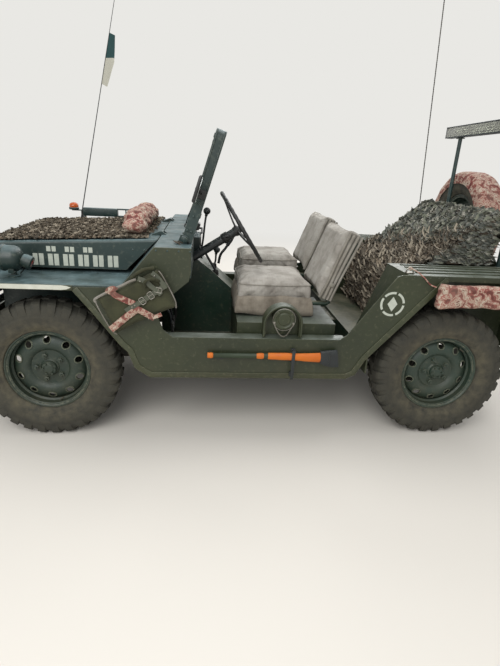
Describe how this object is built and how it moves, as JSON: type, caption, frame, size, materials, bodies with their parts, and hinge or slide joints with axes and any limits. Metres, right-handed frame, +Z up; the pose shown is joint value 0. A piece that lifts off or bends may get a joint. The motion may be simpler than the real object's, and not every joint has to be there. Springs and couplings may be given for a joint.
{
  "type": "light army 4x4 utility car",
  "caption": "Open light army 4x4 car with flat fenders, folding windshield, hinged hood, canvas seats, spare wheel and strapped-on field kit; wheels roll and steer.",
  "frame": {"origin": "centre of the whole car's box, on the floor under the tyres", "axes": "+X to the rear of the car, so it faces -X; +Y to its right side; +Z up"},
  "size_m": [3.3959, 1.7013, 2.7003],
  "materials": {
    "paint": "flat olive enamel",
    "hood_paint": "flat dark green enamel",
    "interior_paint": "dark green enamel",
    "chassis_black": "flat black-green chassis paint",
    "wheel_paint": "dark green enamel",
    "tyre": "dusty black rubber",
    "steel": "dull steel",
    "engine_iron": "cast iron, painted grey-green",
    "seat_canvas": "off-white canvas slip covers",
    "olive_canvas": "olive canvas",
    "scrim_net": "brown camouflage scrim",
    "red_cloth": "red and cream mottled cloth",
    "glass": "clear flat glass",
    "lamp_lens": "ribbed lamp glass",
    "red_lens": "red lens",
    "black_plastic": "black moulded plastic",
    "axe_paint": "green and orange paint on wood and black steel",
    "light_bar": "finned black aluminium with lens strip"
  },
  "bodies": {
    "chassis": {"axe": "axe_paint", "beacon_bar": "paint", "bench_cover": "scrim_net", "bench_cushions": "olive_canvas", "body_sides": "paint", "bumperettes": "paint", "coil_springs": "chassis_black", "control_levers": "black_plastic", "cowl_panel": "paint", "differentials": "engine_iron", "drive_lamp": "paint", "drive_shafts": "chassis_black", "engine_block": "engine_iron", "exhaust_pipe": "steel", "floor_pan": "interior_paint", "frame_rails": "chassis_black", "front_bumper": "paint", "front_fenders": "paint", "front_lamps": "lamp_lens", "fuel_tank": "paint", "gearbox": "engine_iron", "grille_panel": "paint", "light_bar": "light_bar", "pintle_hook": "chassis_black", "radiator": "chassis_black", "rear_bag": "red_cloth", "rear_panel": "paint", "rear_wheelhouses": "paint", "seat_cushions": "seat_canvas", "seat_frames": "interior_paint", "side_bag": "olive_canvas", "spare_cover": "red_cloth", "spare_rim": "wheel_paint", "spare_tyre": "tyre", "steering_column": "black_plastic", "suspension_arms": "chassis_black", "tail_lamps": "red_lens", "whip_aerials": "black_plastic"},
    "hood": {"hood": "hood_paint", "hood_net": "scrim_net", "cloth_bundle": "red_cloth"},
    "windshield": {"windshield_frame": "paint", "windshield_glass": "glass", "side_mirror": "black_plastic"},
    "steering_wheel": {"steering_wheel": "black_plastic"},
    "knuckle_left": {"knuckle_left": "chassis_black"},
    "knuckle_right": {"knuckle_right": "chassis_black"},
    "wheel_fl": {"tyre_fl": "tyre", "rim_fl": "wheel_paint"},
    "wheel_fr": {"tyre_fr": "tyre", "rim_fr": "wheel_paint"},
    "wheel_rl": {"tyre_rl": "tyre", "rim_rl": "wheel_paint"},
    "wheel_rr": {"tyre_rr": "tyre", "rim_rr": "wheel_paint"}
  },
  "joints": [
    {"name": "hood_hinge", "type": "hinge", "parent": "chassis", "child": "hood", "pos_m": [-0.5875, 0, 1.0615], "axis": [0, -1, 0], "range_deg": [-65, 0]},
    {"name": "windshield_fold", "type": "hinge", "parent": "chassis", "child": "windshield", "pos_m": [-0.4535, 0, 1.08], "axis": [0, -1, 0], "range_deg": [0, 107], "deforming": ["cloth_bundle"]},
    {"name": "steering_turn", "type": "hinge", "parent": "chassis", "child": "steering_wheel", "pos_m": [-0.1685, -0.35, 1.085], "axis": [0.8387, 0, 0.5446], "range_deg": [-540, 540]},
    {"name": "steer_left", "type": "hinge", "parent": "chassis", "child": "knuckle_left", "pos_m": [-1.1535, -0.61, 0.376], "axis": [0, 0, 1], "range_deg": [-27, 27]},
    {"name": "steer_right", "type": "hinge", "parent": "chassis", "child": "knuckle_right", "pos_m": [-1.1535, 0.61, 0.376], "axis": [0, 0, 1], "range_deg": [-27, 27]},
    {"name": "spin_fl", "type": "hinge", "parent": "knuckle_left", "child": "wheel_fl", "pos_m": [-1.1535, -0.673, 0.376], "axis": [0, 1, 0], "continuous": true},
    {"name": "spin_fr", "type": "hinge", "parent": "knuckle_right", "child": "wheel_fr", "pos_m": [-1.1535, 0.673, 0.376], "axis": [0, 1, 0], "continuous": true},
    {"name": "spin_rl", "type": "hinge", "parent": "chassis", "child": "wheel_rl", "pos_m": [1.0055, -0.673, 0.376], "axis": [0, 1, 0], "continuous": true},
    {"name": "spin_rr", "type": "hinge", "parent": "chassis", "child": "wheel_rr", "pos_m": [1.0055, 0.673, 0.376], "axis": [0, 1, 0], "continuous": true}
  ],
  "couplings": [
    {"joint": "steer_left", "follows": "steering_turn", "ratio": 0.05},
    {"joint": "steer_right", "follows": "steering_turn", "ratio": 0.05}
  ]
}
